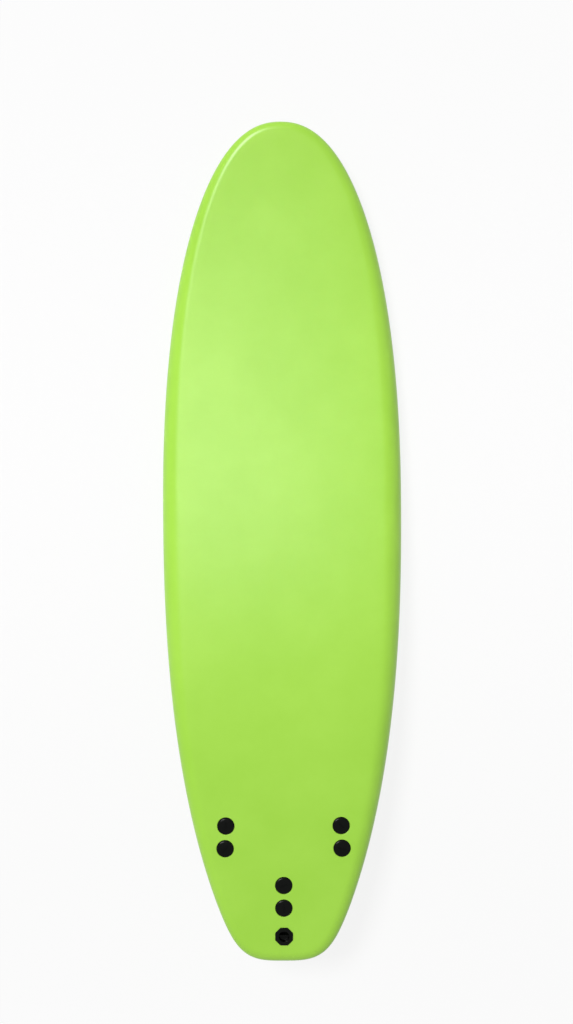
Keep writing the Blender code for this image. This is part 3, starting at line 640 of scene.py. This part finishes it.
FOAM = foam_finish()
SLICK_SHEET = slick_finish()
# The blacks of the screw heads and the leash plug are tinted faintly green: painted reflection of the green
# foam deck around them, not a colour of the nylon itself.
NYLON = moulded_finish("screw_nylon", (0.016, 0.026, 0.015), 0.16, 0.22, 0.09, 1400.0)
LEASH_PLASTIC = moulded_finish("leash_plastic", (0.018, 0.028, 0.017), 0.18, 0.26, 0.09, 1100.0)
PLUG_PLASTIC = moulded_finish("plug_plastic", (0.095, 0.095, 0.095), 0.40, 0.55, 0.30, 900.0)
FIN_PLASTIC = moulded_finish("fin_plastic", (0.092, 0.095, 0.092), 0.24, 0.40, 0.40, 700.0)
RUBBER = rubber_finish()
BRASS = brass_finish()


def rounded_hole(radius, frame_):
    """Cutter for a hole with a rounded upper lip: a rod that turns to a funnel along an arc."""
    mouth = arc((radius + HOLE_LIP, -HOLE_LIP), (HOLE_LIP, HOLE_LIP), 180, 110, 5)
    flare = mouth[-1] + np.array(HOLE_FLARE)
    profile = [(0, -CUT_REACH), (radius, -CUT_REACH), *mouth, flare, (flare[0], CUT_REACH), (0, CUT_REACH)]
    return placed(turned(profile, 96), STANCE, frame_)


def screw_frames():
    """Name, seat and place along the seat of each screw."""
    for side, seat in SEATS.items():
        for end, forward in (("front", SCREW_SPACING / 2), ("rear", -SCREW_SPACING / 2)):
            yield side + "_" + end, seat, forward


def make_foam_skin():
    """Foam skin wrapped over deck and rails to the seam under the board, with seven holes."""
    seam = lower_rail(EDGE[:, 1]) + SEAM_INSET - SEAM_GAP / 2
    walls = []
    for skin, steps, middle in ((0.0, (8, 14), 18), (FOAM_SKIN_LINED, (5, 8), 10)):
        loops = [level(seam, lambda u, v: bottom_height(v) + skin)]
        loops += rail(skin, skin, skin, steps)
        loops += across(loops[-1], lambda u, v: deck_height(u, v) - skin, middle)
        walls.append(placed(np.stack(loops), STANCE))
    edge = np.stack([walls[0][0], walls[1][0]])
    made = body_of_sheets("foam_deck_skin", [(sheet, False, True) for sheet in (*walls, edge)])
    places = [(HEAD + HEAD_CLEARANCE, seat.frame @ moved(y=forward)) for _, seat, forward in screw_frames()]
    places.append((CUP_OUTSIDE + GAP, LEASH_SEAT.frame))
    holes = [(rounded_hole(radius, place), False, True) for radius, place in places]
    combined(made, [body_of_sheets("holes", holes)], "DIFFERENCE")
    dressed(made, FOAM, "board", "deck_foam", "deck_skin", sharp=15)


def make_slick_sheet():
    """Thin bottom sheet inside the seam, with a hole round each plug's flange."""
    edge = lower_rail(EDGE[:, 1]) + SEAM_INSET + SEAM_GAP / 2
    walls = []
    for rise in (0.0, SLICK):
        loops = [level(edge, lambda u, v: bottom_height(v) + rise)]
        loops += across(loops[0], lambda u, v: bottom_height(v) + rise, 16)
        walls.append(placed(np.stack(loops), STANCE))
    rim = np.stack([walls[0][0], walls[1][0]])
    made = body_of_sheets("slick_bottom_sheet", [(sheet, False, True) for sheet in (*walls, rim)])
    holes = []
    radius = PLUG_FLANGE + GAP
    for _, seat, forward in screw_frames():
        low, top = float(seat.bottom(0, forward)) + np.array([-CUT_REACH, CUT_REACH])
        rod = [(0, low), (radius, low), (radius, top), (0, top)]
        holes.append((placed(turned(rod, 64), STANCE, seat.frame, moved(y=forward)), False, True))
    combined(made, [body_of_sheets("flange_holes", holes)], "DIFFERENCE")
    dressed(made, SLICK_SHEET, "board", "slick_sheet", "bottom_slick", sharp=20)


def head_top(radius):
    """Height of the screw's dome at this radius: a parabola that runs into the rounded edge."""
    return CROWN - CROWN_DROP * (radius / CROWN_RADIUS) ** 2


def threaded(r, z, angle):
    """Radius of the shank: a flat-crested helical thread of 2 mm pitch, fading out at both ends."""
    wave = np.abs(2 * np.mod(z / THREAD_PITCH - angle / TURN, 1.0) - 1)
    cut = np.clip(1.7 * wave - 0.45, 0, 1)
    fade = np.clip((THREAD_START - z) / 0.002, 0, 1) * np.clip((z - SHANK_TIP - 0.0006) / 0.001, 0, 1)
    return np.where((r > 0.004) & (z < THREAD_START), r - THREAD_DEPTH * cut * fade, r)


def make_screw(where, seat, forward):
    """Domed head with a coin slot, on a threaded shank."""
    dome = [(radius, head_top(radius)) for radius in np.linspace(0, DOME_RADIUS, 12)[:-1]]
    edge = arc(HEAD_EDGE_CENTRE, HEAD_EDGE_SIZE, 74, 0, 12)
    under = rounded(HEAD, 0, 0.0004, 0, -90)
    neck = rounded(SHANK, 0, 0.0005, 90, 180)
    shank = [(SHANK, z) for z in np.arange(-0.0010, SHANK_TIP + 0.0009, -0.00025)]
    profile = [*dome, *edge, *under, *neck, *shank, (SHANK - 0.0008, SHANK_TIP), (0, SHANK_TIP)]
    turn = math.radians(SLOT_TURNS[where])
    place = (STANCE, seat.frame, moved(y=forward, z=HEAD_SEAT, spin=turn))
    screw = solid("screw_" + where, placed(turned(profile, 96, threaded), *place))

    # Slot cutter: a flat floor, upright walls, and a flare where it comes out of the dome
    loops = []
    for spread, above, on_dome in (
            (-0.0012, 0, False), (-0.0001, 0, False), (0, 0.0001, False),
            (0, -0.0003, True), (0.0004, 0.0001, True), (0.0008, 0.0012, True)):
        loop = stadium(SLOT_HALF_LENGTH + spread, SLOT_HALF_WIDTH + spread, 14)
        base = head_top(np.hypot(*loop.T)) if on_dome else np.full(len(loop), SLOT_FLOOR)
        loops.append(np.column_stack([loop, base + above]))
    combined(screw, [solid("slot", placed(capped(loops, SLOT_STRAIGHT), *place))], "DIFFERENCE")
    dressed(screw, NYLON, "screw_" + where, "screw_nylon", "fin_screw_" + where)


def make_plug(where, seat, forward):
    """Seal washer, flanged cap, plug body and brass insert below one screw."""
    place = (STANCE, seat.frame, moved(y=forward))
    bore = SHANK + GAP
    washer = np.concatenate([
        rounded(bore, 0, 0.0003, 180, 90), rounded(WASHER, 0, 0.0003, 90, 0),
        rounded(WASHER, -WASHER_THICKNESS, 0.0003, 0, -90),
        rounded(bore, -WASHER_THICKNESS, 0.0003, 270, 180)])
    made = solid("washer_" + where, placed(turned(washer, 64), *place, moved(z=WASHER_TOP)), ring=True)
    dressed(made, RUBBER, "washer_" + where, "washer_rubber", "seal_washer_" + where)

    bore = SHANK + 2 * GAP
    outside = PLUG_BORE - GAP
    groove = [(0.0158, 0), (0.0160, -0.0003), (0.0168, -0.0003), (0.0170, 0)]
    cap = np.concatenate([
        rounded(bore, 0, 0.0005, 180, 90), groove,
        rounded(CAP, 0, 0.0005, 90, 0), rounded(CAP, -CAP_FLANGE, 0.0003, 0, -90),
        [(outside, -CAP_FLANGE), (outside, 0.0006 - CAP_DEPTH), (outside - 0.0006, -CAP_DEPTH)],
        [(bore, -CAP_DEPTH)]])
    made = solid("plug_cap_ring_" + where, placed(turned(cap, 64), *place, moved(z=CAP_TOP)), ring=True)
    dressed(made, PLUG_PLASTIC, "board", "plug_plastic", "plug_cap_" + where)

    top = -FOAM_SKIN - GAP
    low = float(seat.bottom(0, forward))
    shoulder = low + FLANGE_THICKNESS

    def foot(x, y, z):
        """Rows written below the shoulder hang from the plane of the board's bottom."""
        return np.where(z < shoulder - 1e-5, seat.bottom(x, y + forward) + z - low, z)

    tube = np.concatenate([
        [(PLUG_BORE, top), (PLUG - 0.0003, top), (PLUG, top - 0.0003), (PLUG, shoulder + 0.0006)],
        rounded(PLUG, shoulder, 0.0006, 180, 270, 4), rounded(PLUG_FLANGE, shoulder, 0.0004, 90, 0),
        rounded(PLUG_FLANGE, low, 0.0006, 0, -90, 4), rounded(PLUG_BORE, low, 0.0005, 270, 180)])
    made = solid("plug_tube_" + where, placed(turned(tube, 64, None, foot), *place), ring=True)
    dressed(made, PLUG_PLASTIC, "board", "plug_plastic", "plug_body_" + where)

    def knurled(r, z, angle):
        """Diamond knurl on the outside: the sines of two opposed spirals, the lesser one cut in."""
        one = np.abs(np.sin(KNURL_RIDGES * angle + KNURL_SLOPE * z))
        two = np.abs(np.sin(KNURL_RIDGES * angle - KNURL_SLOPE * z))
        inner = (z < -0.0012) & (z > -INSERT_LENGTH + 0.0012) & (r > 0.0055)
        return np.where(inner, r - KNURL_DEPTH * np.minimum(one, two), r)

    bore = SHANK + GAP
    insert = [(bore, -0.0004), (bore + 0.0004, 0), (INSERT - 0.0003, 0), (INSERT, -0.0003)]
    insert += [(INSERT, z) for z in np.linspace(-0.0010, 0.0010 - INSERT_LENGTH, 30)]
    insert += [(INSERT - 0.0003, -INSERT_LENGTH), (bore, -INSERT_LENGTH)]
    turning = placed(turned(insert, 84, knurled), *place, moved(z=POST_TOP - GAP))
    made = solid("brass_insert_" + where, turning, ring=True)
    dressed(made, BRASS, "fin_" + where.split("_")[0], "insert_brass", "insert_" + where)


def curve(controls, share):
    """Points on the cubic curve through four control points, for an array of shares."""
    a, b, c, d = np.asarray(controls, float)
    s = share[:, None]
    return a * (1 - s) ** 3 + 3 * b * s * (1 - s) ** 2 + 3 * c * (1 - s) * s ** 2 + d * s ** 3


def blade(outer):
    """Raked blade: cubic leading and trailing edges, a foil 2.6 sqrt(u) (1 - u) thick from
    front to back, flatter inside on a side fin. The tip closes as the fourth root of
    1 - t^4, a side fin leans out by the cant, and a hollow round meets the base."""
    lead = FIN_CHORD / 2
    tip = -lead - FIN_RAKE
    last = 1 - FIN_TIP_START
    share = np.concatenate([
        np.linspace(0, 0.07, 13)[:-1], np.linspace(0.07, FIN_TIP_START, 34)[:-1],
        FIN_TIP_START + last * np.sin(np.linspace(0, math.pi / 2, 14))])
    end = tip + FIN_TIP_CHORD
    depth = np.array([1, FIN_DEPTH])
    front = curve(depth * ((lead, 0), (0.45 * lead, -0.5), (-0.55 * lead, -1), (end, -1)), share)
    back = curve(depth * ((-lead, 0), (-0.8 * lead, -0.3), (-1.15 * lead, -0.62), (tip, -0.955)), share)
    chord = np.hypot(*(front - back).T)
    thick = blend(FIN_THICKNESS, FIN_EDGE, share ** 1.5) * np.minimum(1, 2 * chord / FIN_CHORD)
    late = np.clip((share - FIN_TIP_START) / last, 0, 1)[:, None]
    closing = (1 - late ** 4) ** 0.25
    u = (1 - np.cos(np.linspace(0, math.pi, 29))) / 2
    middle = (front + back) / 2
    place = middle[:, None] + (front - back)[:, None] * (0.5 - u)[None, :, None] * closing[..., None]
    swell = 1.3 * np.sqrt(u) * (1 - u) * thick[:, None]
    edge = FIN_EDGE / 2 * np.sin(math.pi * u) ** 0.5
    ends = np.sqrt(1 - late ** 2)
    side = outer if outer else 1
    outside = side * (swell + edge) * ends
    inside = -side * (swell * (FIN_FLATNESS if outer else 1.0) + edge) * ends
    x = np.concatenate([outside, inside[:, -2:0:-1]], 1)
    rest = np.concatenate([place, place[:, -2:0:-1]], 1)
    grid = np.stack([x, rest[..., 0], rest[..., 1]], -1)
    grid = placed(grid, np.array(Matrix.Rotation(-outer * FIN_CANT, 4, "Y")))
    tall = FIN_ROOT_ROUND * FIN_ROOT_SHARE
    near = tall - np.clip(-grid[..., 2] - 0.5 * BASE_THICKNESS, 0, tall)
    flare = FIN_ROOT_ROUND - np.sqrt(FIN_ROOT_ROUND ** 2 - near ** 2)
    round_u = np.concatenate([u, u[-2:0:-1]])
    outward = np.concatenate([np.full(len(u), side), np.full(len(u) - 2, -side)])
    grid[..., 0] += flare * outward * np.sin(math.pi * round_u) ** 0.5
    grid[..., 1] += flare * (1 - 2 * round_u) ** 3
    lid = grid[:1].copy()
    lid[..., 0] = 0
    return np.concatenate([lid, grid])


def make_fin(side, seat, outer):
    """Blade, round-ended base plate and two bored posts, joined into one moulding."""
    under = seat.bottom_frame() @ moved(z=-GAP)
    section = [(BASE_LIP, 0)]
    for turn in np.linspace(0.3, 1.57, 4):
        section.append((BASE_LIP * (1 - math.sin(turn)), BASE_LIP * (math.cos(turn) - 1)))
    for turn in np.linspace(0, 1.57, 7):
        fall = BASE_THICKNESS - BASE_ROUND + BASE_ROUND * math.sin(turn)
        section.append((BASE_ROUND * (1 - math.cos(turn)), -fall))
    loops = []
    for inset, height in section:
        loop = stadium(BASE_LENGTH / 2 - inset, BASE_WIDTH / 2 - inset, 24)
        loops.append(np.column_stack([loop, np.full(len(loop), height)]))
    plate = capped(loops, (BASE_LENGTH - BASE_WIDTH) / 2)
    fin = solid("fin_moulding_" + side, placed(plate, STANCE, seat.frame, under))

    wing = placed(blade(outer), STANCE, seat.frame, under, moved(z=-0.5 * BASE_THICKNESS))
    parts = [solid("blade", wing)]
    for forward in (SCREW_SPACING / 2, -SCREW_SPACING / 2):
        wall = INSERT + GAP
        floor = POST_TOP - INSERT_LENGTH - 2 * GAP
        low = float(seat.bottom(0, forward)) - GAP - 0.5 * BASE_THICKNESS
        profile = [(0, floor), (wall, floor), (wall, POST_TOP - 0.0004), (wall + 0.0004, POST_TOP),
                   (POST - 0.0008, POST_TOP), (POST, POST_TOP - 0.0008), (POST, low), (0, low)]
        parts.append(solid("post", placed(turned(profile, 64), STANCE, seat.frame, moved(y=forward))))
    combined(fin, parts, "UNION")
    dressed(fin, FIN_PLASTIC, "fin_" + side, "fin_plastic", "fin_" + side)


def make_leash_plug():
    """Cup with an eight-sided flange, its cross bar and the anchor below it."""
    def eight_sided(r, z, angle):
        """Outside the cup's lip the radius goes from round to eight-sided with soft corners: the
        flats' distance over the 40th root of the summed 40th powers of the cosines to four axes."""
        axes = np.arange(4) * math.pi / 4
        spread = np.abs(np.cos(angle[..., None] - axes)) ** 40
        octagon = spread.sum(-1) ** (-1 / 40)
        share = np.clip((r - ROUND_UP_TO) / ROUND_TO_FLATS, 0, 1)
        return np.where(z > -0.0001, r * blend(1.0, octagon, share), r)

    top = GAP + CUP_TOP
    profile = np.concatenate([
        [(0, CUP_FLOOR)], rounded(CUP_BORE, CUP_FLOOR, 0.0012, -90, 0, 4),
        [(CUP_BORE, z) for z in np.linspace(-0.0100, 0.0010, 6)], rounded(CUP_BORE, top, 0.0010, 180, 90, 5),
        [(radius, top) for radius in FLANGE_LOOPS],
        arc((FLATS - 0.0014, top - 0.0012), (0.0014, 0.0012), 90, 0, 6),
        [(FLATS, GAP + 0.0003), (FLATS - 0.0003, GAP)], [(radius, GAP) for radius in FLANGE_LOOPS[::-1]],
        [(CUP_OUTSIDE, CUP_UNDER + 0.0006), (CUP_OUTSIDE - 0.0006, CUP_UNDER), (STEM, CUP_UNDER),
         (STEM, STEM_TIP + 0.0006), (STEM - 0.0006, STEM_TIP), (0, STEM_TIP)]])
    place = (STANCE, LEASH_SEAT.frame)
    cup = solid("leash_plug_cup", placed(turned(profile, 160, eight_sided), *place))
    lying = (*place, moved(z=BAR_PLACE), np.array(Matrix.Rotation(math.pi / 2, 4, "Y")))
    half = CUP_BORE + 0.0010
    socket = [(0, half + GAP), (BAR + GAP, half + GAP), (BAR + GAP, -half - GAP), (0, -half - GAP)]
    combined(cup, [solid("socket", placed(turned(socket, 48), *lying))], "DIFFERENCE")
    dressed(cup, LEASH_PLASTIC, "board", "leash_plastic", "leash_cup")

    end = rounded(BAR, half, 0.0004, 90, 0)
    length = [(BAR, z) for z in np.linspace(0.010, -0.010, 9)]
    rod = np.concatenate([[(0, half)], end, length, end[::-1] * [1, -1], [(0, -half)]])
    bar = solid("leash_cross_bar", placed(turned(rod, 48), *lying))
    dressed(bar, LEASH_PLASTIC, "board", "leash_plastic", "leash_bar")

    floor = STEM_TIP - GAP
    top = CUP_UNDER - GAP
    foot = floor - ANCHOR_FLOOR
    shoulder = foot + FLANGE_THICKNESS
    anchor = [
        (0, floor), (STEM + GAP, floor), (STEM + GAP, top), (PLUG, top), (PLUG, shoulder + 0.0006),
        (PLUG + 0.0006, shoulder), (PLUG_FLANGE - 0.0004, shoulder), (PLUG_FLANGE, shoulder - 0.0004),
        (PLUG_FLANGE, foot + 0.0004), (PLUG_FLANGE - 0.0004, foot), (0, foot)]
    made = solid("leash_plug_anchor", placed(turned(anchor, 64), *place))
    dressed(made, PLUG_PLASTIC, "board", "plug_plastic", "leash_anchor")


def dress_inner_layers():
    """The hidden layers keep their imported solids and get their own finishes."""
    for finish, names in (
            (bead_finish(), ("foam_core",)),
            (net_finish(), ("deck_mesh", "bottom_mesh")),
            (fine_foam_finish(), ("bottom_backing",)),
            (plywood_finish(), ("stringer_left", "stringer_right"))):
        for name in names:
            for slot in frame["nodes"][name].material_slots:
                slot.material = finish


def white_to_the_camera(tree, plain, output, shade):
    """Shows white to camera, mirror and glass rays in the share `shade`, and `plain` to the rest."""
    def joined(operation, *values):
        """Two values, sockets or plain ones, through one operation."""
        made = tree.nodes.new("ShaderNodeMath")
        made.operation = operation
        for socket, value in zip(made.inputs, values):
            if isinstance(value, bpy.types.NodeSocket):
                tree.links.new(value, socket)
            else:
                socket.default_value = value
        return made.outputs[0]

    ray = tree.nodes.new("ShaderNodeLightPath").outputs
    mirrored = joined("MAXIMUM", ray["Is Glossy Ray"], ray["Is Transmission Ray"])
    part = joined("MULTIPLY", joined("MAXIMUM", ray["Is Camera Ray"], mirrored), shade)
    mix = tree.nodes.new("ShaderNodeMixShader")
    lit = "ShaderNodeBackground" if output.bl_idname == "ShaderNodeOutputWorld" else "ShaderNodeEmission"
    white = tree.nodes.new(lit)
    white.inputs["Color"].default_value = (1, 1, 1, 1)
    white.inputs["Strength"].default_value = 1.0
    tree.links.new(part, mix.inputs["Fac"])
    tree.links.new(plain, mix.inputs[1])
    tree.links.new(white.outputs[0], mix.inputs[2])
    tree.links.new(mix.outputs[0], output.inputs["Surface"])


def make_studio():
    """Pale floor, white surroundings, a soft key from the nose's left and a narrow strip above."""
    far = FLOOR_HALF * np.array([[[-1, -1, 0], [-1, 1, 0]], [[1, -1, 0], [1, 1, 0]]], float)
    floor = body_of_sheets("floor", [(far - [0, 0, FLOOR_DROP], False, False)])
    paper = bpy.data.materials.new("studio_paper")
    paper.use_nodes = True
    tree = paper.node_tree
    shader = tree.nodes["Principled BSDF"]
    shader.inputs["Base Color"].default_value = PAPER
    shader.inputs["Roughness"].default_value = 1.0
    shader.inputs["Specular IOR Level"].default_value = 0.0
    white_to_the_camera(tree, shader.outputs[0], tree.nodes["Material Output"], PAPER_WHITE)
    floor.data.materials.append(paper)

    world = bpy.data.worlds.new("studio")
    bpy.context.scene.world = world
    world.use_nodes = True
    tree = world.node_tree
    sky = tree.nodes["Background"]
    sky.inputs["Color"].default_value = (1.0, 1.0, 1.0, 1)
    sky.inputs["Strength"].default_value = SKY_STRENGTH
    white_to_the_camera(tree, sky.outputs[0], tree.nodes["World Output"], 1.0)

    for name, place, aim, size, power, spread in (
            ("key", (-5.2, 5.6, 13.0), (0, -0.2, 0.1), (4.2, 4.2), 1570, 180),
            ("strip", (-0.3, 0.55, 4.4), (0, 0.22, 0.1), (2.6, 0.35), 1.00, 24)):
        lamp = bpy.data.lights.new(name, "AREA")
        lamp.shape = "RECTANGLE"
        lamp.size, lamp.size_y = size
        lamp.energy = power
        lamp.spread = math.radians(spread)
        holder = bpy.data.objects.new(name, lamp)
        bpy.context.scene.collection.objects.link(holder)
        toward = np.array(place, float) - np.array(aim, float)
        z = unit(toward)
        x = unit(np.cross([0, 1, 0.001], z))
        facing = np.eye(4)
        facing[:3] = np.stack([x, np.cross(z, x), z, place], 1)
        holder.matrix_world = Matrix(facing)

    camera = bpy.data.cameras.new("camera")
    camera.sensor_width = 36
    camera.lens = CAMERA_LENS
    camera.clip_end = 50
    holder = bpy.data.objects.new("camera", camera)
    bpy.context.scene.collection.objects.link(holder)
    holder.matrix_world = Matrix(STANCE @ moved(*CAMERA_PLACE))
    bpy.context.scene.camera = holder
    bpy.context.scene.view_settings.view_transform = "Standard"


make_foam_skin()
make_slick_sheet()
for where, seat, forward in screw_frames():
    make_screw(where, seat, forward)
    make_plug(where, seat, forward)
for side, outer in (("left", -1), ("right", 1), ("centre", 0)):
    make_fin(side, SEATS[side], outer)
make_leash_plug()
dress_inner_layers()
make_studio()
